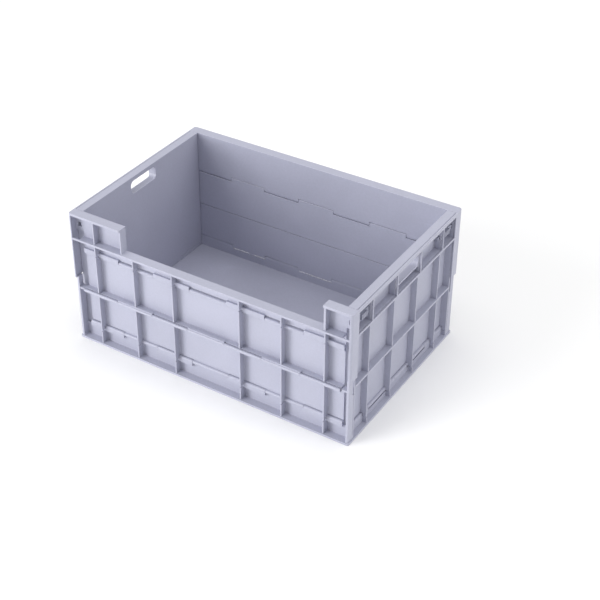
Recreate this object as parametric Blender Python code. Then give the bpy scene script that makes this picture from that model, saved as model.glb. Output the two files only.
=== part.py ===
"""Collapsible storage crate, 600 x 400 x 280 mm.

A base tray carries two folding end walls and two long walls. Each long wall is a
lower and an upper leaf that fold inwards about a hinge at half height, and a rim
frame hangs on the upper leaves, so the rim sinks straight down as they fold.
X runs along the long side, the front long side is at -Y, and Z = 0 is the floor.
"""

import math

import bmesh
import bpy
from mathutils import Matrix, Vector

# Driving dimensions, in metres.
LENGTH, WIDTH, HEIGHT = 0.600, 0.400, 0.280
WALL = 0.020  # from the inner face of a wall to the outside of the rim
SKIRT = 0.003  # thickness of the rim frame where it passes outside other pieces
SKIN = 0.003
RIB = 0.003
GAP = 0.0005
RIB_LEVEL = 0.226  # centre height of the upper horizontal rib
HINGE_LEVEL = 0.1155  # height of the long walls' middle hinge, the lower rib
HALF_RIB = 0.002  # half the height of a horizontal rib
FLOOR_TOP = 0.014
LONG_RIBS = (-0.246, -0.159, -0.072, 0.072, 0.159, 0.246)
END_RIBS = (-0.129, -0.043, 0.043, 0.129)
OPENING = (-0.182, 0.243)  # the front rim's cut-out, along X
SLOT_WIDTH, SLOT_LOW, SLOT_HIGH, SLOT_RADIUS = 0.078, 0.244, 0.271, 0.009
RIM_CORNER = 0.005
CORNER_LIP = 0.005  # how far a corner turns onto the front; it closes the back

# Hinges.
ROD_RADIUS, ROD_CHAMFER = 0.0015, 0.0004
BORE_RADIUS = 0.0018
KNUCKLE_RADIUS = 0.0038
MID_KNUCKLE_RADIUS = 0.003
PIVOT_DEPTH = 0.004  # from the inner face to the axis of a base or rim hinge
SKIN_REACH = 0.0035  # how far a leaf's skin runs past its axis
SWEEP_ROOM = 0.0057  # space that a turning leaf needs beyond its axis
FINGER_ROOM = KNUCKLE_RADIUS + 0.0005  # radius of the notch round a finger
LEDGE = 0.0015  # of the upper leaves under the rim hinges, against daylight
MID_GAP = 0.0004  # between a middle knuckle and the other leaf's edge
MID_STEP = 0.0003
LEAF_MARGIN = 0.0004  # between the rim frame's corners and the leaves' side of them
LONG_KNUCKLES, END_KNUCKLES = 7, 5

# Derived positions.
HALF_X, HALF_Y = LENGTH / 2, WIDTH / 2
INNER_X, INNER_Y = HALF_X - WALL, HALF_Y - WALL
SKIRT_X, SKIRT_Y = HALF_X - SKIRT, HALF_Y - SKIRT
OUTER_X, OUTER_Y = SKIRT_X - GAP, SKIRT_Y - GAP
LEAF_X, END_Y = INNER_X - GAP, INNER_Y - GAP
PIVOT_X, PIVOT_Y = INNER_X + PIVOT_DEPTH, INNER_Y + PIVOT_DEPTH
END_PIVOT_Z = FLOOR_TOP + GAP + PIVOT_DEPTH
END_FOLDED_TOP = END_PIVOT_Z + OUTER_X - PIVOT_X
BASE_PIVOT_Z = END_FOLDED_TOP + GAP + PIVOT_DEPTH
RIM_PIVOT_Z = 2 * HINGE_LEVEL - BASE_PIVOT_Z
MID_PIVOT_Y = SKIRT_Y
RIM_DROP = RIM_PIVOT_Z - BASE_PIVOT_Z - 2 * (MID_PIVOT_Y - PIVOT_Y)
CURB_TOP = BASE_PIVOT_Z - SWEEP_ROOM
BAND_BOTTOM = RIM_PIVOT_Z + SWEEP_ROOM
RIM_THICKNESS = 0.005
END_BAND = 0.008  # height of the rim frame's bars along the ends
RIM_UNDERSIDE = HEIGHT - RIM_THICKNESS
RIB_LOW, RIB_HIGH = RIB_LEVEL - HALF_RIB, RIB_LEVEL + HALF_RIB
HINGE_RIB_LOW, HINGE_RIB_HIGH = HINGE_LEVEL - HALF_RIB, HINGE_LEVEL + HALF_RIB
MID_TRIM_Y = MID_PIVOT_Y - MID_KNUCKLE_RADIUS - MID_GAP
RIB_INSET = 0.0012  # of the end walls' upright ribs behind the horizontal ones
FLANGE_TOP, FLANGE_INSET = 0.004, 0.001
SKIRT_BOTTOM = RIM_DROP + FLANGE_TOP + GAP
POST_TOP = RIM_UNDERSIDE - RIM_DROP - GAP
KEEPER_LOW = 0.238  # bottom of the panels that take the bolts

# The sliding bolts of the end walls.
BOLT_Z, BOLT_X = 0.251, 0.2885
BOLT_THICK, BOLT_TALL, BOLT_FIT = 0.007, 0.008, 0.0004
BOLT_TRAVEL = 0.0045
BOLT_TAIL, BOLT_ROOM = 0.008, 0.010  # how far the bolt and its hole run past the last rib
KEEPER_FIT = 0.0006
SLAB_HALF_HEIGHT = 0.0065
TAB_HALF_WIDTH, TAB_HALF_HEIGHT = 0.009, 0.0055
GROOVES, GROOVE_HALF_WIDTH, GROOVE_DEPTH = (-0.005, 0.0, 0.005), 0.0009, 0.0013

PLASTIC_COLOUR = (0.56, 0.57, 0.68, 1.0)
BOLT_COLOUR = (0.30, 0.31, 0.39, 1.0)
STEEL_COLOUR = (0.62, 0.62, 0.64, 1.0)
FAR = 0.5  # past the object on every side
SIDES = {"front": -1, "back": 1}
ENDS = {"left": -1, "right": 1}
SHARP_ANGLE = math.radians(32)
TINY = 1e-6


def clear_scene():
    for obj in list(bpy.data.objects):
        bpy.data.objects.remove(obj, do_unlink=True)


def new_collection(name):
    made = bpy.data.collections.new(name)
    bpy.context.scene.collection.children.link(made)
    return made


def new_material(name, colour, roughness, metallic):
    made = bpy.data.materials.new(name)
    made.use_nodes = True
    shader = made.node_tree.nodes["Principled BSDF"]
    shader.inputs["Base Color"].default_value = colour
    shader.inputs["Roughness"].default_value = roughness
    shader.inputs["Metallic"].default_value = metallic
    made.diffuse_color = colour
    return made


def add_box(mesh, ranges):
    """A box between the (low, high) ranges of its three axes."""
    size = [high - low for low, high in ranges]
    centre = Vector([(low + high) / 2 for low, high in ranges])
    matrix = Matrix.Translation(centre) @ Matrix.Diagonal((*size, 1))
    return bmesh.ops.create_cube(mesh, size=1, matrix=matrix)["verts"]


def add_rounded_box(mesh, ranges, axis, radius, segments):
    """A box whose four edges along one axis are rounded."""
    verts = add_box(mesh, ranges)
    edges = {edge for vert in verts for edge in vert.link_edges}
    across = [i for i in range(3) if i != axis]
    along = [
        edge
        for edge in edges
        if all(abs(edge.verts[0].co[i] - edge.verts[1].co[i]) < TINY for i in across)
    ]
    bmesh.ops.bevel(
        mesh, geom=along, offset=radius, segments=segments, profile=0.5, affect="EDGES"
    )


def add_cylinder(mesh, axis, low, high, centre, radius, segments):
    """A cylinder along X (0) or Y (1) from low to high; centre is its other two coordinates."""
    place = list(centre)
    place.insert(axis, (low + high) / 2)
    turn = Matrix.Rotation(math.pi / 2, 4, "Y" if axis == 0 else "X")
    step = Matrix.Rotation(math.pi / segments, 4, "Z")
    bmesh.ops.create_cone(
        mesh,
        cap_ends=True,
        segments=segments,
        radius1=radius,
        radius2=radius,
        depth=high - low,
        matrix=Matrix.Translation(place) @ turn @ step,
    )


def object_of(mesh, name, collection):
    data = bpy.data.meshes.new(name)
    mesh.to_mesh(data)
    mesh.free()
    made = bpy.data.objects.new(name, data)
    collection.objects.link(made)
    return made


def boxes_object(name, boxes, collection):
    mesh = bmesh.new()
    for ranges in boxes:
        add_box(mesh, ranges)
    return object_of(mesh, name, collection)


def as_tool(tool):
    tool.hide_render = True
    tool.display_type = "WIRE"
    return tool


def apply_boolean(target, tool, operation):
    modifier = target.modifiers.new(tool.name, "BOOLEAN")
    modifier.operation = operation
    modifier.solver = "EXACT"
    modifier.object = as_tool(tool)


def cut(target, what, boxes):
    """Cuts boxes that don't overlap one another out of the target."""
    tool = boxes_object(f"{target.name}_{what}", boxes, CUTTERS)
    apply_boolean(target, tool, "DIFFERENCE")


def join(target, what, boxes):
    tool = boxes_object(f"{target.name}_{what}", boxes, CUTTERS)
    apply_boolean(target, tool, "UNION")


def join_knuckles(target, what, axis, spans, centre, radius):
    mesh = bmesh.new()
    for low, high in spans:
        add_cylinder(mesh, axis, low, high, centre, radius, 16)
    tool = object_of(mesh, f"{target.name}_{what}", CUTTERS)
    apply_boolean(target, tool, "UNION")


def cut_bore(target, what, axis, reach, centre, radius=BORE_RADIUS, segments=12):
    mesh = bmesh.new()
    add_cylinder(mesh, axis, -reach, reach, centre, radius, segments)
    tool = object_of(mesh, f"{target.name}_{what}", CUTTERS)
    apply_boolean(target, tool, "DIFFERENCE")


def finish(target, material, origin):
    """Applies the modifiers, puts the origin on the joint's axis and sets the shading."""
    graph = bpy.context.evaluated_depsgraph_get()
    data = bpy.data.meshes.new_from_object(target.evaluated_get(graph))
    target.modifiers.clear()
    data.transform(Matrix.Translation(-Vector(origin)))
    data.name = target.name
    data.materials.clear()
    data.materials.append(material)
    data.shade_smooth()
    data.set_sharp_from_angle(angle=SHARP_ANGLE)
    target.data = data
    target.location = origin


def span(side, near, far):
    """The range between two distances from the middle, on the side -1 or 1."""
    return tuple(sorted((side * near, side * far)))


def both(near, far):
    return [span(side, near, far) for side in (-1, 1)]


def bays(ribs, half, end_rib=RIB):
    """The ranges between ribs, out to a rib of the given thickness at either end."""
    reach = half - end_rib + RIB / 2
    edges = [-reach, *ribs, reach]
    return [
        (low + RIB / 2, high - RIB / 2) for low, high in zip(edges, edges[1:])
    ]


def knuckle_spans(half, count):
    """(fingers, knuckles): the alternate pieces of a hinge line, fingers at both ends."""
    pitch = 2 * half / count
    pieces = [
        (-half + i * pitch + GAP / 2, -half + (i + 1) * pitch - GAP / 2)
        for i in range(count)
    ]
    return pieces[0::2], pieces[1::2]


def widened(spans):
    return [(low - GAP, high + GAP) for low, high in spans]


LONG_FINGERS, LONG_KNUCKLE_SPANS = knuckle_spans(LEAF_X, LONG_KNUCKLES)
END_FINGERS, END_KNUCKLE_SPANS = knuckle_spans(END_Y, END_KNUCKLES)


def base_tray():
    mesh = bmesh.new()
    post_corner = RIM_CORNER - SKIRT - GAP
    add_rounded_box(
        mesh,
        [(-OUTER_X, OUTER_X), (-OUTER_Y, OUTER_Y), (0, POST_TOP)],
        2,
        post_corner,
        4,
    )
    tray = object_of(mesh, "base_tray", CRATE)

    well = (-INNER_Y, INNER_Y)
    cut(tray, "well", [[(-FAR, FAR), well, (FLOOR_TOP, FAR)]])
    for name, side in ENDS.items():
        centre = (side * PIVOT_X, END_PIVOT_Z)
        cut_bore(tray, f"{name}_channel", 1, INNER_Y, centre, SWEEP_ROOM, 24)
    post_x, post_y = INNER_X + GAP, INNER_Y + GAP
    above_curbs = [
        [(-post_x, post_x), y, (CURB_TOP, FAR)] for y in both(INNER_Y - GAP, FAR)
    ]
    cut(tray, "above_curbs", above_curbs)
    inside_posts = [
        [x, y, (CURB_TOP, FAR)]
        for x in both(INNER_X - WALL, OUTER_X - 1.5 * SKIN)
        for y in both(INNER_Y - WALL, OUTER_Y - SKIN)
    ]
    cut(tray, "inside_posts", inside_posts)
    post_ends = [
        [x, y, (FLOOR_TOP, FAR)]
        for x in both(OUTER_X - 2 * SKIN, FAR)
        for y in both(INNER_Y - WALL, post_y)
    ]
    cut(tray, "post_ends", post_ends)
    keeper_low = KEEPER_LOW - RIM_DROP - 2 * GAP
    keeper_room = [
        [x, y, (keeper_low, FAR)]
        for x in both(OUTER_X - 2 * SKIN, FAR)
        for y in both(INNER_Y - WALL, INNER_Y + SKIN + 2 * GAP)
    ]
    cut(tray, "keeper_room", keeper_room)

    flange = bmesh.new()
    flange_x, flange_y = HALF_X - FLANGE_INSET, HALF_Y - FLANGE_INSET
    add_rounded_box(
        flange,
        [(-flange_x, flange_x), (-flange_y, flange_y), (0, FLANGE_TOP)],
        2,
        RIM_CORNER - FLANGE_INSET,
        4,
    )
    apply_boolean(tray, object_of(flange, "base_tray_flange", CUTTERS), "UNION")

    curb_reach = {-1: (OUTER_X, CORNER_LIP), 1: (LEAF_X, RIB)}
    curb_bays = [
        [x, span(side, INNER_Y + SKIN, FAR), (FLANGE_TOP, FAR)]
        for side, reach in curb_reach.items()
        for x in bays(LONG_RIBS, *reach)
    ]
    cut(tray, "curb_bays", curb_bays)
    channel = span(-1, INNER_Y + SKIN + GAP, OUTER_Y - GAP)
    post_ribs = [
        [x, channel, (HINGE_RIB_LOW, HINGE_RIB_HIGH)]
        for x in both(post_x, OUTER_X - SKIN / 2)
    ]
    join(tray, "post_ribs", post_ribs)
    end_bays = [
        [x, y, (FLANGE_TOP, FAR)]
        for y in bays(END_RIBS, END_Y)
        for x in both(PIVOT_X + KNUCKLE_RADIUS, FAR)
    ]
    cut(tray, "end_bays", end_bays)
    cut(tray, "underside", underside_cells())

    necks = [
        [x, y, (CURB_TOP - RIB, BASE_PIVOT_Z)]
        for x in LONG_FINGERS
        for y in both(INNER_Y, PIVOT_Y + KNUCKLE_RADIUS)
    ]
    join(tray, "long_necks", necks)
    end_necks = [
        [x, y, (FLANGE_TOP + RIB, END_PIVOT_Z)]
        for y in END_FINGERS
        for x in both(INNER_X, PIVOT_X + KNUCKLE_RADIUS)
    ]
    join(tray, "end_necks", end_necks)
    for name, side in SIDES.items():
        centre = (side * PIVOT_Y, BASE_PIVOT_Z)
        join_knuckles(tray, f"{name}_fingers", 0, LONG_FINGERS, centre, KNUCKLE_RADIUS)
        cut_bore(tray, f"{name}_bore", 0, LEAF_X + GAP, centre)
    for name, side in ENDS.items():
        centre = (side * PIVOT_X, END_PIVOT_Z)
        join_knuckles(tray, f"{name}_fingers", 1, END_FINGERS, centre, KNUCKLE_RADIUS)
        cut_bore(tray, f"{name}_bore", 1, END_Y + GAP, centre)
    finish(tray, PLASTIC, (0, 0, 0))


def underside_cells():
    """The hollows between the ribs under the floor, with a solid pad in the middle one."""
    columns, rows = 7, 5
    rib = 0.004
    x_pitch = (2 * INNER_X + rib) / columns
    y_pitch = (2 * INNER_Y + rib) / rows
    cells = []
    for column in range(columns):
        for row in range(rows):
            if (column, row) == (columns // 2, rows // 2):
                continue
            x_low = -INNER_X + column * x_pitch
            y_low = -INNER_Y + row * y_pitch
            x_range = (x_low, x_low + x_pitch - rib)
            y_range = (y_low, y_low + y_pitch - rib)
            cells.append([x_range, y_range, (-FAR, FLOOR_TOP - 2 * SKIN)])
    return cells


def lower_leaf(name, side):
    top = HINGE_LEVEL - GAP
    bottom = BASE_PIVOT_Z - SKIN_REACH
    y_range = span(side, INNER_Y, OUTER_Y)
    leaf = boxes_object(
        f"{name}_lower_leaf", [[(-LEAF_X, LEAF_X), y_range, (bottom, top)]], CRATE
    )
    outside = span(side, INNER_Y + SKIN, FAR)
    cells = [
        [x, outside, (-FAR, top - RIB)] for x in bays(LONG_RIBS, LEAF_X + GAP, 0)
    ]
    cut(leaf, "bays", cells)
    edge = [(-FAR, FAR), span(side, MID_TRIM_Y, FAR), (top - RIB - MID_STEP, FAR)]
    cut(leaf, "top_edge", [edge])
    cut(leaf, "finger_room", finger_room(side, (-FAR, BASE_PIVOT_Z + FINGER_ROOM)))
    centre = (side * PIVOT_Y, BASE_PIVOT_Z)
    join_knuckles(leaf, "knuckles", 0, LONG_KNUCKLE_SPANS, centre, KNUCKLE_RADIUS)
    cut_bore(leaf, "bore", 0, FAR, centre)
    necks = (top - 1.5 * RIB, top - GAP / 2)
    add_mid_knuckles(leaf, side, LONG_FINGERS, necks)
    finish(leaf, PLASTIC, (0, side * PIVOT_Y, BASE_PIVOT_Z))


def upper_leaf(name, side):
    bottom = HINGE_LEVEL + GAP
    top = RIM_PIVOT_Z + SKIN_REACH
    y_range = span(side, INNER_Y, OUTER_Y)
    leaf = boxes_object(
        f"{name}_upper_leaf", [[(-LEAF_X, LEAF_X), y_range, (bottom, top)]], CRATE
    )
    outside = span(side, INNER_Y + SKIN, FAR)
    cells = [
        [x, outside, (bottom + RIB, FAR)] for x in bays(LONG_RIBS, LEAF_X + GAP, 0)
    ]
    cut(leaf, "bays", cells)
    edge = [(-FAR, FAR), span(side, MID_TRIM_Y, FAR), (-FAR, bottom + RIB + MID_STEP)]
    cut(leaf, "bottom_edge", [edge])
    shelf_top = RIM_PIVOT_Z - FINGER_ROOM
    shelf_y = span(side, INNER_Y + SKIN / 2, INNER_Y + SKIN + LEDGE)
    shelf = [(-LEAF_X, LEAF_X), shelf_y, (shelf_top - RIB, shelf_top)]
    join(leaf, "hinge_shelf", [shelf])
    cut(leaf, "finger_room", finger_room(side, (shelf_top, FAR)))
    centre = (side * PIVOT_Y, RIM_PIVOT_Z)
    join_knuckles(leaf, "knuckles", 0, LONG_KNUCKLE_SPANS, centre, KNUCKLE_RADIUS)
    cut_bore(leaf, "bore", 0, FAR, centre)
    necks = (bottom + GAP / 2, bottom + 1.5 * RIB)
    add_mid_knuckles(leaf, side, LONG_KNUCKLE_SPANS, necks)
    finish(leaf, PLASTIC, (0, side * MID_PIVOT_Y, HINGE_LEVEL))


def finger_room(side, z_range):
    """Notches in a leaf round the fingers that it turns on."""
    y_range = span(side, 0, PIVOT_Y + FINGER_ROOM)
    return [[x, y_range, z_range] for x in widened(LONG_FINGERS)]


def add_mid_knuckles(leaf, side, spans, neck_range):
    y_range = span(side, MID_TRIM_Y - RIB, MID_PIVOT_Y)
    join(leaf, "mid_necks", [[x, y_range, neck_range] for x in spans])
    centre = (side * MID_PIVOT_Y, HINGE_LEVEL)
    join_knuckles(leaf, "mid_knuckles", 0, spans, centre, MID_KNUCKLE_RADIUS)
    cut_bore(leaf, "mid_bore", 0, FAR, centre)


def end_wall(name, side):
    bottom = END_PIVOT_Z - SKIN_REACH
    x_range = span(side, INNER_X, OUTER_X)
    wall = boxes_object(
        f"{name}_end_wall", [[x_range, (-END_Y, END_Y), (bottom, HEIGHT)]], CRATE
    )
    shelf = SLOT_LOW - RIB
    low_row = (-FAR, HINGE_RIB_LOW)
    middle_row = (HINGE_RIB_HIGH, RIB_LOW)
    top_row = (RIB_HIGH, RIM_UNDERSIDE)
    outside = span(side, INNER_X + SKIN, FAR)
    cells = []
    for y_range in bays(END_RIBS, END_Y):
        over_slot = y_range[0] < 0 < y_range[1]
        cells.append([outside, y_range, low_row])
        cells.append([outside, y_range, middle_row])
        cells.append([outside, y_range, (RIB_HIGH, shelf) if over_slot else top_row])
    cut(wall, "bays", cells)
    proud = span(side, OUTER_X - RIB_INSET, FAR)
    between_ends = (RIB - END_Y, END_Y - RIB)
    rows = (low_row, middle_row, top_row)
    cut(wall, "rib_edges", [[proud, between_ends, row] for row in rows])

    slot = bmesh.new()
    half = SLOT_WIDTH / 2
    add_rounded_box(
        slot,
        [span(side, INNER_X - WALL, FAR), (-half, half), (SLOT_LOW, SLOT_HIGH)],
        0,
        SLOT_RADIUS,
        5,
    )
    apply_boolean(wall, object_of(slot, f"{name}_end_wall_slot", CUTTERS), "DIFFERENCE")

    bolt_rooms = [
        [bolt_x(side, BOLT_FIT), y, bolt_z(BOLT_FIT)]
        for y in both(abs(END_RIBS[0]) - BOLT_ROOM, FAR)
    ]
    cut(wall, "bolt_rooms", bolt_rooms)
    knuckle_room = [
        [span(side, 0, PIVOT_X + FINGER_ROOM), y, (-FAR, END_PIVOT_Z + FINGER_ROOM)]
        for y in widened(END_FINGERS)
    ]
    cut(wall, "finger_room", knuckle_room)
    centre = (side * PIVOT_X, END_PIVOT_Z)
    join_knuckles(wall, "knuckles", 1, END_KNUCKLE_SPANS, centre, KNUCKLE_RADIUS)
    cut_bore(wall, "bore", 1, FAR, centre)
    finish(wall, PLASTIC, (side * PIVOT_X, 0, END_PIVOT_Z))


def bolt_x(side, margin):
    half = BOLT_THICK / 2 + margin
    return span(side, BOLT_X - half, BOLT_X + half)


def around_bolt(half):
    return (BOLT_Z - half, BOLT_Z + half)


def bolt_z(margin):
    return around_bolt(BOLT_TALL / 2 + margin)


def latch_bolt(name, x_side, y_side):
    """A bolt that slides along Y through the end wall's ribs into the rim's corner."""
    rib = abs(END_RIBS[0])
    bay = (rib + RIB / 2, END_Y - RIB)
    body = span(y_side, bay[0] + BOLT_FIT, bay[1] - BOLT_TRAVEL - BOLT_FIT)
    bolt = boxes_object(
        name,
        [[bolt_x(x_side, 0), span(y_side, rib - BOLT_TAIL, END_Y - GAP), bolt_z(0)]],
        CRATE,
    )
    slab_x = span(x_side, INNER_X + SKIN + GAP, BOLT_X + BOLT_THICK / 2)
    join(bolt, "slab", [[slab_x, body, around_bolt(SLAB_HALF_HEIGHT)]])
    middle = sum(abs(value) for value in body) / 2
    tab = [
        span(x_side, BOLT_X, OUTER_X - GAP),
        span(y_side, middle - TAB_HALF_WIDTH, middle + TAB_HALF_WIDTH),
        around_bolt(TAB_HALF_HEIGHT),
    ]
    join(bolt, "tab", [tab])
    grooves = [
        [
            span(x_side, OUTER_X - GAP - GROOVE_DEPTH, FAR),
            span(
                y_side,
                middle + offset - GROOVE_HALF_WIDTH,
                middle + offset + GROOVE_HALF_WIDTH,
            ),
            (0, FAR),
        ]
        for offset in GROOVES
    ]
    cut(bolt, "grooves", grooves)
    finish(bolt, BOLT_PLASTIC, (x_side * BOLT_X, y_side * END_Y, BOLT_Z))


def rim_frame():
    mesh = bmesh.new()
    add_rounded_box(
        mesh,
        [(-HALF_X, HALF_X), (-HALF_Y, HALF_Y), (SKIRT_BOTTOM, HEIGHT)],
        2,
        RIM_CORNER,
        5,
    )
    frame = object_of(mesh, "rim_frame", CRATE)
    cut(frame, "well", [[(-SKIRT_X, SKIRT_X), (-INNER_Y, INNER_Y), (-FAR, FAR)]])
    leaf_room = INNER_X + LEAF_MARGIN
    leaf_space = [
        [(-leaf_room, leaf_room), y, (-FAR, BAND_BOTTOM)]
        for y in both(INNER_Y - GAP, FAR)
    ]
    cut(frame, "leaf_space", leaf_space)
    lower_cells = [
        [x, y, (-FAR, KEEPER_LOW)]
        for x in both(INNER_X, SKIRT_X)
        for y in both(INNER_Y - GAP, SKIRT_Y)
    ]
    cut(frame, "lower_cells", lower_cells)
    upper_cells = [
        [x, y, (KEEPER_LOW - RIB, RIM_UNDERSIDE)]
        for x in both(INNER_X, SKIRT_X)
        for y in both(INNER_Y + SKIN, SKIRT_Y)
    ]
    cut(frame, "upper_cells", upper_cells)
    end_y = (RIB - END_Y, END_Y - RIB)
    ends = both(SKIRT_X - GAP, FAR)
    cut(frame, "below_end_bands", [[x, end_y, (-FAR, RIB_LOW)] for x in ends])
    windows = [
        [x, y, (RIB_HIGH, HEIGHT - END_BAND)] for x in ends for y in bays(END_RIBS, END_Y)
    ]
    cut(frame, "windows", windows)
    low_row, top_row = (-FAR, RIB_LOW), (RIB_HIGH, RIM_UNDERSIDE)
    cells = []
    for side in (-1, 1):
        outside = span(side, INNER_Y + SKIN, FAR)
        for x in bays(LONG_RIBS, INNER_X + GAP, 0):
            cells.append([x, outside, low_row])
            top = x if side > 0 else outside_opening(x)
            if top:
                cells.append([top, outside, top_row])
    cut(frame, "long_bays", cells)
    proud = []
    for side, lip_x in ((-1, HALF_X - CORNER_LIP), (1, INNER_X - RIB)):
        y = span(side, OUTER_Y, FAR)
        proud.extend([(-lip_x, lip_x), y, row] for row in (low_row, top_row))
    cut(frame, "rib_edges", proud)
    cut(frame, "opening", [[OPENING, (-FAR, -INNER_Y + GAP), (RIB_HIGH, FAR)]])
    keeper_holes = [
        [bolt_x(side, KEEPER_FIT), y, bolt_z(KEEPER_FIT)]
        for side in (-1, 1)
        for y in both(INNER_Y - GAP, INNER_Y + 2 * SKIN)
    ]
    cut(frame, "keeper_holes", keeper_holes)
    necks = [
        [x, y, (RIM_PIVOT_Z, BAND_BOTTOM + RIB)]
        for x in LONG_FINGERS
        for y in both(INNER_Y, PIVOT_Y + KNUCKLE_RADIUS)
    ]
    join(frame, "necks", necks)
    for name, side in SIDES.items():
        centre = (side * PIVOT_Y, RIM_PIVOT_Z)
        join_knuckles(frame, f"{name}_fingers", 0, LONG_FINGERS, centre, KNUCKLE_RADIUS)
        cut_bore(frame, f"{name}_bore", 0, LEAF_X + GAP, centre)
    finish(frame, PLASTIC, (0, -PIVOT_Y, RIM_PIVOT_Z))


def outside_opening(x_range):
    """The part of a front bay that the opening and its side webs leave, or None."""
    low, high = x_range
    if high <= OPENING[0] - RIB or low >= OPENING[1]:
        return x_range
    if low < OPENING[0] - RIB:
        return (low, OPENING[0] - RIB)
    return None


def hinge_rod(name, axis, reach, centre):
    mesh = bmesh.new()
    add_cylinder(mesh, axis, -reach, reach, centre, ROD_RADIUS, 12)
    rims = [edge for edge in mesh.edges if edge.calc_face_angle(0) > math.radians(60)]
    bmesh.ops.bevel(
        mesh, geom=rims, offset=ROD_CHAMFER, segments=1, profile=0.5, affect="EDGES"
    )
    origin = list(centre)
    origin.insert(axis, 0)
    finish(object_of(mesh, name, CRATE), STEEL, origin)


clear_scene()
CRATE = new_collection("collapsible_storage_crate")
CUTTERS = new_collection("cutters")
PLASTIC = new_material("crate_plastic", PLASTIC_COLOUR, 0.45, 0.0)
BOLT_PLASTIC = new_material("bolt_plastic", BOLT_COLOUR, 0.4, 0.0)
STEEL = new_material("zinc_plated_steel", STEEL_COLOUR, 0.3, 1.0)

base_tray()
rim_frame()
ROD_REACH = LEAF_X - GAP
for side_name, y_sign in SIDES.items():
    lower_leaf(side_name, y_sign)
    upper_leaf(side_name, y_sign)
    pivots = {
        "base": (y_sign * PIVOT_Y, BASE_PIVOT_Z),
        "middle": (y_sign * MID_PIVOT_Y, HINGE_LEVEL),
        "rim": (y_sign * PIVOT_Y, RIM_PIVOT_Z),
    }
    for place, pivot in pivots.items():
        hinge_rod(f"{side_name}_{place}_hinge_rod", 0, ROD_REACH, pivot)
for end_name, x_sign in ENDS.items():
    end_wall(end_name, x_sign)
    hinge_rod(f"{end_name}_end_hinge_rod", 1, END_Y - GAP, (x_sign * PIVOT_X, END_PIVOT_Z))
    for side_name, y_sign in SIDES.items():
        latch_bolt(f"{end_name}_{side_name}_latch_bolt", x_sign, y_sign)
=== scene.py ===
"""Looks of the collapsible storage crate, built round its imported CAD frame.

Each moulded piece is its CAD solid with every edge rounded and every inner corner
filleted, in textured polypropylene. The hinge rods are rebuilt as zinc-plated wire.
All lengths are in metres, in the frame's own axes: X along the crate, the front at -Y.
"""

import math

import bmesh
import bpy
import numpy as np
from mathutils import Matrix, Vector


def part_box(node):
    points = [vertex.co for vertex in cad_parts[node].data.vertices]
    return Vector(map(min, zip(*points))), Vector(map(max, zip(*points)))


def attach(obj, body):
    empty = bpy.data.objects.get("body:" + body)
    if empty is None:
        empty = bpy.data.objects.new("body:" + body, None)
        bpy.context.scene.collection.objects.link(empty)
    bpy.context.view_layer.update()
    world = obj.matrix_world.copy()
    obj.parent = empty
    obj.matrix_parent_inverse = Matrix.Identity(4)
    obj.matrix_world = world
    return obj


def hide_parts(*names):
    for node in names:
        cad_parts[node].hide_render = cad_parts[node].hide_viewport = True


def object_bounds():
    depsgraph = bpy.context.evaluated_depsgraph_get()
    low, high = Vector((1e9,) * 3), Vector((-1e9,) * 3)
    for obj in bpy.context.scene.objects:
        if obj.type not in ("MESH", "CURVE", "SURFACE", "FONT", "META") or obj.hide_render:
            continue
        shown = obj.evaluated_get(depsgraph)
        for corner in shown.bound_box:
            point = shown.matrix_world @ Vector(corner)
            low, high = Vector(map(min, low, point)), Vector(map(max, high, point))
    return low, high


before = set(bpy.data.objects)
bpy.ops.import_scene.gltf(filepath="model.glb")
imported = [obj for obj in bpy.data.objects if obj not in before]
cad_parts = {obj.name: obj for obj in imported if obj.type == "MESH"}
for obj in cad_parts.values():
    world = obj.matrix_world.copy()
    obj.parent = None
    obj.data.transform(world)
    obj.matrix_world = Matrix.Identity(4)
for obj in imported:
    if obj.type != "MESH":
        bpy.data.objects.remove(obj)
cad_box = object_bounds()
CRATE_LOW, CRATE_HIGH = (Vector(corner) for corner in cad_box)

# Rounding of the moulded edges.
SOFT_EDGE = 0.0012  # on the outermost edges, which hands and stacked crates rub
FINE_EDGE = 0.0006
OUTERMOST = 0.006  # an edge this near to two sides of the crate's box is outermost
ROUNDING_STEPS = 3
SHARP_ANGLE = math.radians(28)
ROOM_SHARE = 0.42  # share of the room beside an edge that its rounding may take
FLAT_ANGLE = math.radians(0.5)
MERGE = 1e-6

# Hinge rods.
ROD_SIDES = 24
ROD_DOME_STEPS = 4

# Linear colours and roughness.
PLASTIC, PLASTIC_ROUGHNESS = (0.42, 0.428, 0.525), 0.45
BOLT_GREY, BOLT_ROUGHNESS = (0.30, 0.31, 0.39), 0.40
ZINC, ZINC_ROUGHNESS = (0.62, 0.63, 0.65), (0.24, 0.40)
PAPER, PAPER_ROUGHNESS, PAPER_SHEEN = (0.95, 0.95, 0.95), 0.9, 0.1

# Noise patterns: scale per metre, levels of detail, distortion.
CLOUDS = (9, 3, 0.6)
FLECKS = (240, 4)
SCUFFS, SCUFF_STRETCH = (18, 3, 0.4), (1, 1, 45)
PATCHES = (14, 2)
WAVES = (22, 1)
GRAIN = (1600, 3)
PLATING = (160, 4)
DRAWING, DRAWING_STRETCH = (2600, 2), 0.02

# Relief of a pattern: height in metres, strength.
WAVE_RELIEF = (0.0012, 0.12)
GRAIN_RELIEF = (0.00012, 0.35)
DRAWING_RELIEF = (0.00003, 0.4)

# Between these values of a pattern a detail fades in from none to full.
SCUFF_FADE = (0.62, 0.72)
PATCH_FADE = (0.48, 0.66)
TONE_FADE = (0.75, 1.25)
MIDDLE_FADE = (0.3, 0.7)

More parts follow.
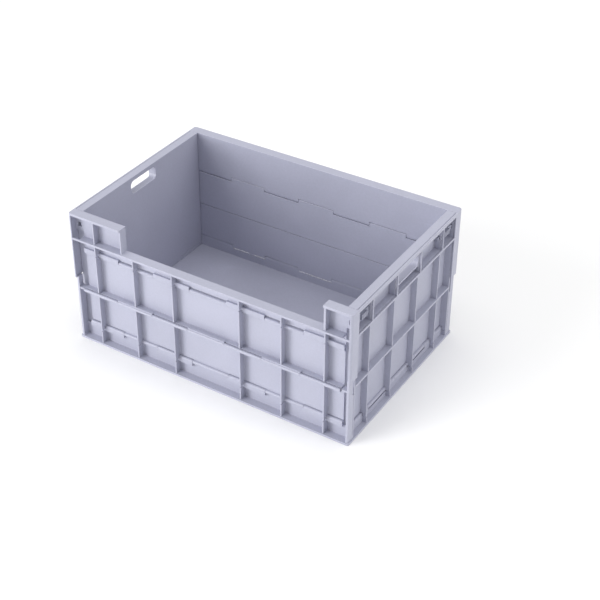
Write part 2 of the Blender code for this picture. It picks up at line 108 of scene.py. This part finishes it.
TONE = 0.035  # how far the clouds and flecks lighten or darken the plastic
PALE, DARK = 1.16, 0.72  # of the plastic's own colour, in scuffs and in the painted shade along the inner fillets
SCUFFING, WEAR, FILLET_SHADING = 0.5, 0.35, 0.30  # share of the pale colour, or of the dark colour of the painted shade, at full strength
DULL_ZINC, BRIGHT_ZINC = 0.86, 1.08  # of the zinc's own colour
GLOSS_RANGE, SCUFF_ROUGHENING, WEAR_POLISH = 0.05, 0.12, 0.2  # changes of roughness

# Camera.
CAMERA_AZIMUTH = math.radians(33.35)
CAMERA_ELEVATION = math.radians(33.8)
CAMERA_ROLL = math.radians(0.49)
CAMERA_DISTANCE = 2.5025
CAMERA_TARGET = Vector((0, 0, 0.150))
CAMERA_LENS = 79.88
CAMERA_SENSOR = 36
CAMERA_SHIFT = (0.0573, -0.0505)
CAMERA_CLIP = (0.05, 50)

# Studio.
FLOOR_SIZE = 8
SKY_STRENGTH = 0.56
LIGHTS = {  # place, diameter, watts
    "top": ((0, 0, 5), 4.5, 90),
    "key": ((-3, -5.5, 3.5), 3, 138),
    "low_left": ((-4.2, -4.6, 1.2), 3, 216),
    "right": ((6, 1, 2.5), 3.5, 105),
    "back": ((0.5, 6, 3.5), 3.5, 55),
}

MOULDED = {  # node: (body, material slot)
    "base_tray": ("base", "crate_plastic"),
    "rim_frame": ("rim", "crate_plastic"),
    "front_lower_leaf": ("front_lower", "crate_plastic"),
    "front_upper_leaf": ("front_upper", "crate_plastic"),
    "back_lower_leaf": ("back_lower", "crate_plastic"),
    "back_upper_leaf": ("back_upper", "crate_plastic"),
    "left_end_wall": ("left_end", "crate_plastic"),
    "right_end_wall": ("right_end", "crate_plastic"),
    "left_front_latch_bolt": ("left_front_bolt", "bolt_plastic"),
    "left_back_latch_bolt": ("left_back_bolt", "bolt_plastic"),
    "right_front_latch_bolt": ("right_front_bolt", "bolt_plastic"),
    "right_back_latch_bolt": ("right_back_bolt", "bolt_plastic"),
}
RODS = {
    "front_base_hinge_rod": "base",
    "back_base_hinge_rod": "base",
    "left_end_hinge_rod": "base",
    "right_end_hinge_rod": "base",
    "front_middle_hinge_rod": "front_lower",
    "back_middle_hinge_rod": "back_lower",
    "front_rim_hinge_rod": "rim",
    "back_rim_hinge_rod": "rim",
}


def object_of(name, data):
    made = bpy.data.objects.new(name, data)
    bpy.context.scene.collection.objects.link(made)
    return made


def mesh_of(name, mesh):
    data = bpy.data.meshes.new(name)
    mesh.to_mesh(data)
    mesh.free()
    return data


# Shapes.


def cleaned(node):
    """The CAD node's mesh with its flat faces joined up."""
    mesh = bmesh.new()
    mesh.from_mesh(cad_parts[node].data)
    bmesh.ops.remove_doubles(mesh, verts=mesh.verts, dist=MERGE)
    bmesh.ops.dissolve_limit(
        mesh, angle_limit=FLAT_ANGLE, verts=mesh.verts, edges=mesh.edges
    )
    return mesh


def flat_regions(mesh):
    """Groups of neighbouring faces that lie in one plane, numbered on the mesh."""
    layer = mesh.faces.layers.int.new("region")
    regions = []
    seen = set()
    for start in mesh.faces:
        if start in seen:
            continue
        seen.add(start)
        region = [start]
        for face in region:
            face[layer] = len(regions)
            for edge in face.edges:
                if edge.calc_face_angle(0) > FLAT_ANGLE:
                    continue
                new = [other for other in edge.link_faces if other not in seen]
                seen.update(new)
                region.extend(new)
        regions.append(region)
    return regions


def room_round(region):
    """Each outline edge of a flat region, with its distance from the rest of the outline."""
    edges = {edge for face in region for edge in face.edges}
    outline = [edge for edge in edges if edge.calc_face_angle(0) > FLAT_ANGLE]
    verts = {vert: row for row, vert in enumerate({v for e in outline for v in e.verts})}
    ends = np.array([[verts[vert] for vert in edge.verts] for edge in outline])
    points = np.array([vert.co for vert in verts])
    starts = points[ends[:, 0]]
    spans = points[ends[:, 1]] - starts
    reach = points[:, None] - starts
    share = np.clip((reach * spans).sum(2) / (spans * spans).sum(1), 0, 1)
    gaps = np.linalg.norm(reach - share[..., None] * spans, axis=2)
    for column, pair in enumerate(ends):
        gaps[pair, column] = np.inf
    for column, edge in enumerate(outline):
        yield edge, min(gaps[:, column].min(), gaps[ends[column]].min())


def is_outermost(edge):
    """True if the edge lies beside two sides of the crate's box."""
    sides = 0
    for axis in range(3):
        places = [vert.co[axis] for vert in edge.verts]
        high = min(places) > CRATE_HIGH[axis] - OUTERMOST
        low = max(places) < CRATE_LOW[axis] + OUTERMOST
        sides += high or low
    return sides > 1


def weigh_edges(mesh):
    """Gives each sharp edge its share of the widest rounding."""
    layer = mesh.edges.layers.float.new("bevel_weight_edge")
    room = {}
    for region in flat_regions(mesh):
        for edge, gap in room_round(region):
            room[edge] = min(gap, room.get(edge, gap))
    for edge, gap in room.items():
        if edge.calc_face_angle(0) > SHARP_ANGLE:
            width = SOFT_EDGE if is_outermost(edge) else FINE_EDGE
            edge[layer] = min(width, ROOM_SHARE * gap) / SOFT_EDGE


def flat_faces(mesh):
    """The faces of each flat region, without the roundings beside it."""
    layer = mesh.faces.layers.int["region"]
    parts = {}
    for face in mesh.faces:
        if face.material_index == 0:
            parts.setdefault(face[layer], []).append(face)
    return layer, parts


def refill(mesh):
    """Fills each flat region that is in several faces anew, from its outline alone."""
    layer, parts = flat_faces(mesh)
    for number, faces in parts.items():
        if len(faces) == 1:
            continue
        normal = max(faces, key=lambda face: face.calc_area()).normal.copy()
        own = set(faces)
        edges = {edge for face in faces for edge in face.edges}
        splits = [edge for edge in edges if own.issuperset(edge.link_faces)]
        outline = list(edges.difference(splits))
        bmesh.ops.delete(mesh, geom=faces, context="FACES_ONLY")
        bmesh.ops.delete(mesh, geom=splits, context="EDGES")
        filled = bmesh.ops.triangle_fill(
            mesh, edges=outline, use_beauty=True, normal=normal
        )
        for face in filled["geom"]:
            if isinstance(face, bmesh.types.BMFace):
                face[layer] = number
                if face.normal.dot(normal) < 0:
                    face.normal_flip()


def mark_edges(mesh):
    """Stores +1 along the middle of rounded edges, -1 along fillets (where the plastic gets
    painted shade) and 0 on flat faces.
    """
    layer = mesh.verts.layers.float.new("edge")
    for vert in mesh.verts:
        if all(face.material_index for face in vert.link_faces):
            lean = sum(
                (edge.other_vert(vert).co - vert.co).normalized().dot(vert.normal)
                for edge in vert.link_edges
            )
            vert[layer] = 1 if lean < 0 else -1


def smooth_normals(mesh):
    """Normals that keep flat regions flat and turn only across the roundings."""
    sums = [vert.normal.copy() for vert in mesh.verts]
    _, parts = flat_faces(mesh)
    flat = {}
    for number, faces in parts.items():
        for face in faces:
            for vert in face.verts:
                flat.setdefault(vert.index, {})[number] = faces[0].normal
    for index, normals in flat.items():
        sums[index] = sum((normal.copy() for normal in normals.values()), Vector())
    return [tuple(normal.normalized()) for normal in sums]


def rounded(mesh, name):
    """The mesh with its weighed edges rounded, as mesh data with the right normals."""
    rough = object_of(name, mesh_of(name, mesh))
    rough.data.materials.append(None)
    rough.data.materials.append(None)
    rounding = rough.modifiers.new("rounding", "BEVEL")
    rounding.width = SOFT_EDGE
    rounding.segments = ROUNDING_STEPS
    rounding.limit_method = "WEIGHT"
    rounding.use_clamp_overlap = False
    rounding.loop_slide = False
    rounding.material = 1
    graph = bpy.context.evaluated_depsgraph_get()
    mesh = bmesh.new()
    mesh.from_mesh(rough.evaluated_get(graph).data)
    bpy.data.meshes.remove(rough.data)
    refill(mesh)
    mesh.normal_update()
    mesh.verts.index_update()
    mark_edges(mesh)
    normals = smooth_normals(mesh)
    for face in mesh.faces:
        face.material_index = 0
        face.smooth = True
    data = mesh_of(name, mesh)
    data.normals_split_custom_set_from_vertices(normals)
    return data


def moulded(node, body, slot, material):
    """A moulded piece that stands for a CAD node, with rounded edges."""
    mesh = cleaned(node)
    weigh_edges(mesh)
    name = node + "_moulded"
    piece = object_of(name, rounded(mesh, name))
    piece.data.materials.append(material)
    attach(piece, body)
    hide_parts(node)


def hinge_rod(node, body, wires):
    """A round rod with domed ends, like its CAD node; wires holds a material for each axis."""
    low, high = (Vector(corner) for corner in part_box(node))
    size = high - low
    axis = max(range(3), key=lambda i: size[i])
    radius = min(size) / 2
    half = size[axis] / 2
    steps = [math.pi / 2 * i / ROD_DOME_STEPS for i in range(ROD_DOME_STEPS + 1)]
    outline = [
        (radius * math.sin(step), -half + radius * (1 - math.cos(step))) for step in steps
    ]
    outline += [(reach, -along) for reach, along in reversed(outline)]
    mesh = bmesh.new()
    verts = [mesh.verts.new((reach, 0, along)) for reach, along in outline]
    edges = [mesh.edges.new(pair) for pair in zip(verts, verts[1:])]
    bmesh.ops.spin(
        mesh,
        geom=verts + edges,
        axis=(0, 0, 1),
        cent=(0, 0, 0),
        angle=2 * math.pi,
        steps=ROD_SIDES,
    )
    bmesh.ops.remove_doubles(mesh, verts=mesh.verts, dist=MERGE)
    bmesh.ops.recalc_face_normals(mesh, faces=mesh.faces)
    turn = Matrix.Rotation(math.pi / 2, 4, "Y" if axis == 0 else "X")
    bmesh.ops.transform(
        mesh, matrix=Matrix.Translation((low + high) / 2) @ turn, verts=mesh.verts
    )
    data = mesh_of(node + "_wire", mesh)
    data.shade_smooth()
    data.materials.append(wires[axis])
    rod = object_of(node + "_wire", data)
    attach(rod, body)
    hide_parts(node)


# Materials.


def new_material(name, colour):
    material = bpy.data.materials.new(name)
    material.use_nodes = True
    shader = material.node_tree.nodes["Principled BSDF"]
    shader.inputs["Base Color"].default_value = (*colour, 1)
    return material, material.node_tree, shader


def scaled(colour, factor):
    return (*(min(1, value * factor) for value in colour), 1)


def put(tree, socket, value):
    """Sets a node's socket to a number or a colour, or links it to another socket."""
    if isinstance(value, bpy.types.NodeSocket):
        tree.links.new(value, socket)
    else:
        socket.default_value = value


def noise(tree, place, scale, detail, distortion=0, stretch=(1, 1, 1)):
    mapping = tree.nodes.new("ShaderNodeMapping")
    mapping.inputs["Scale"].default_value = stretch
    tree.links.new(place, mapping.inputs["Vector"])
    node = tree.nodes.new("ShaderNodeTexNoise")
    node.inputs["Scale"].default_value = scale
    node.inputs["Detail"].default_value = detail
    node.inputs["Distortion"].default_value = distortion
    tree.links.new(mapping.outputs["Vector"], node.inputs["Vector"])
    return node.outputs["Fac"]


def remapped(tree, value, old, new):
    node = tree.nodes.new("ShaderNodeMapRange")
    tree.links.new(value, node.inputs["Value"])
    names = ("From Min", "From Max", "To Min", "To Max")
    for name, number in zip(names, (*old, *new)):
        node.inputs[name].default_value = number
    return node.outputs["Result"]


def maths(tree, operation, first, second):
    node = tree.nodes.new("ShaderNodeMath")
    node.operation = operation
    put(tree, node.inputs[0], first)
    put(tree, node.inputs[1], second)
    return node.outputs["Value"]


def mixed(tree, factor, first, second):
    """A colour between two, each a colour or a socket."""
    node = tree.nodes.new("ShaderNodeMix")
    node.data_type = "RGBA"
    tree.links.new(factor, node.inputs["Factor"])
    first_colour, second_colour = (s for s in node.inputs if s.type == "RGBA")
    put(tree, first_colour, first)
    put(tree, second_colour, second)
    return next(socket for socket in node.outputs if socket.type == "RGBA")


def bumped(tree, height, depth, strength, under=None):
    node = tree.nodes.new("ShaderNodeBump")
    node.inputs["Distance"].default_value = depth
    node.inputs["Strength"].default_value = strength
    tree.links.new(height, node.inputs["Height"])
    if under:
        tree.links.new(under, node.inputs["Normal"])
    return node.outputs["Normal"]


def plastic_material(name, colour, roughness):
    """Moulded polypropylene: fine grain, faint flow clouds, scuffs, worn edges and painted
    shade in the inner fillets.
    """
    material, tree, shader = new_material(name, colour)
    place = tree.nodes.new("ShaderNodeTexCoord").outputs["Object"]
    edge = tree.nodes.new("ShaderNodeAttribute")
    edge.attribute_name = "edge"
    worn = remapped(tree, edge.outputs["Fac"], (0, 1), (0, WEAR))
    # painted shade: the inner fillets (edge = -1) are darkened as if shade fell there
    painted_fillet_shade = remapped(tree, edge.outputs["Fac"], (0, -1), (0, FILLET_SHADING))

    clouds = noise(tree, place, *CLOUDS)
    flecks = noise(tree, place, *FLECKS)
    streaks = noise(tree, place, *SCUFFS, SCUFF_STRETCH)
    patches = noise(tree, place, *PATCHES)
    scuffs = maths(
        tree,
        "MULTIPLY",
        remapped(tree, streaks, SCUFF_FADE, (0, 1)),
        remapped(tree, patches, PATCH_FADE, (0, 1)),
    )

    tone = remapped(tree, maths(tree, "ADD", clouds, flecks), TONE_FADE, (0, 1))
    body = mixed(tree, tone, scaled(colour, 1 - TONE), scaled(colour, 1 + TONE))
    body = mixed(
        tree, maths(tree, "MULTIPLY", scuffs, SCUFFING), body, scaled(colour, PALE)
    )
    body = mixed(tree, worn, body, scaled(colour, PALE))
    # painted shade: mixes the inner fillets towards the darker plastic colour
    body = mixed(tree, painted_fillet_shade, body, scaled(colour, DARK))
    tree.links.new(body, shader.inputs["Base Color"])

    gloss_range = (roughness - GLOSS_RANGE, roughness + GLOSS_RANGE)
    gloss = remapped(tree, clouds, MIDDLE_FADE, gloss_range)
    rougher = maths(tree, "MULTIPLY", scuffs, SCUFF_ROUGHENING)
    gloss = maths(tree, "ADD", gloss, rougher)
    smoother = maths(tree, "MULTIPLY", worn, WEAR_POLISH)
    gloss = maths(tree, "SUBTRACT", gloss, smoother)
    tree.links.new(gloss, shader.inputs["Roughness"])

    normal = bumped(tree, noise(tree, place, *WAVES), *WAVE_RELIEF)
    normal = bumped(tree, noise(tree, place, *GRAIN), *GRAIN_RELIEF, normal)
    tree.links.new(normal, shader.inputs["Normal"])
    return material


def steel_material(axis):
    """Zinc-plated wire, with drawing lines along the given axis and mottled plating."""
    material, tree, shader = new_material("zinc_plated_steel", ZINC)
    shader.inputs["Metallic"].default_value = 1
    place = tree.nodes.new("ShaderNodeTexCoord").outputs["Object"]
    plating = remapped(tree, noise(tree, place, *PLATING), MIDDLE_FADE, (0, 1))
    shade = mixed(tree, plating, scaled(ZINC, DULL_ZINC), scaled(ZINC, BRIGHT_ZINC))
    tree.links.new(shade, shader.inputs["Base Color"])
    gloss = remapped(tree, plating, (0, 1), ZINC_ROUGHNESS)
    tree.links.new(gloss, shader.inputs["Roughness"])
    stretch = [1, 1, 1]
    stretch[axis] = DRAWING_STRETCH
    lines = noise(tree, place, *DRAWING, stretch=stretch)
    tree.links.new(bumped(tree, lines, *DRAWING_RELIEF), shader.inputs["Normal"])
    return material


# Studio.


def floor():
    mesh = bmesh.new()
    bmesh.ops.create_grid(mesh, x_segments=1, y_segments=1, size=FLOOR_SIZE)
    data = mesh_of("floor", mesh)
    material, _, shader = new_material("floor_paper", PAPER)
    shader.inputs["Roughness"].default_value = PAPER_ROUGHNESS
    shader.inputs["Specular IOR Level"].default_value = PAPER_SHEEN
    data.materials.append(material)
    object_of("floor", data)


def sky():
    world = bpy.data.worlds.new("studio")
    world.use_nodes = True
    background = world.node_tree.nodes["Background"]
    background.inputs["Color"].default_value = (1, 1, 1, 1)
    background.inputs["Strength"].default_value = SKY_STRENGTH
    bpy.context.scene.world = world


def area_light(name, place, size, power):
    light = bpy.data.lights.new(name, "AREA")
    light.shape = "DISK"
    light.size = size
    light.energy = power
    lamp = object_of(name, light)
    lamp.location = place
    aim = CAMERA_TARGET - Vector(place)
    lamp.rotation_euler = aim.to_track_quat("-Z", "Y").to_euler()


def camera():
    lens = bpy.data.cameras.new("camera")
    lens.lens = CAMERA_LENS
    lens.sensor_width = CAMERA_SENSOR
    lens.shift_x, lens.shift_y = CAMERA_SHIFT
    lens.clip_start, lens.clip_end = CAMERA_CLIP
    made = object_of("camera", lens)
    level = math.cos(CAMERA_ELEVATION)
    back = Vector(
        (
            math.sin(CAMERA_AZIMUTH) * level,
            -math.cos(CAMERA_AZIMUTH) * level,
            math.sin(CAMERA_ELEVATION),
        )
    )
    place = Matrix.Translation(CAMERA_TARGET + back * CAMERA_DISTANCE)
    turn = (-back).to_track_quat("-Z", "Y").to_matrix().to_4x4()
    made.matrix_world = place @ turn @ Matrix.Rotation(-CAMERA_ROLL, 4, "Z")
    bpy.context.scene.camera = made


materials = {
    "crate_plastic": plastic_material("crate_plastic", PLASTIC, PLASTIC_ROUGHNESS),
    "bolt_plastic": plastic_material("bolt_plastic", BOLT_GREY, BOLT_ROUGHNESS),
}
for node_name, (body_name, slot_name) in MOULDED.items():
    moulded(node_name, body_name, slot_name, materials[slot_name])
steels = [steel_material(axis) for axis in (0, 1)]
for node_name, body_name in RODS.items():
    hinge_rod(node_name, body_name, steels)

floor()
sky()
for light_name, settings in LIGHTS.items():
    area_light(light_name, *settings)
camera()
bpy.context.scene.view_settings.view_transform = "Standard"
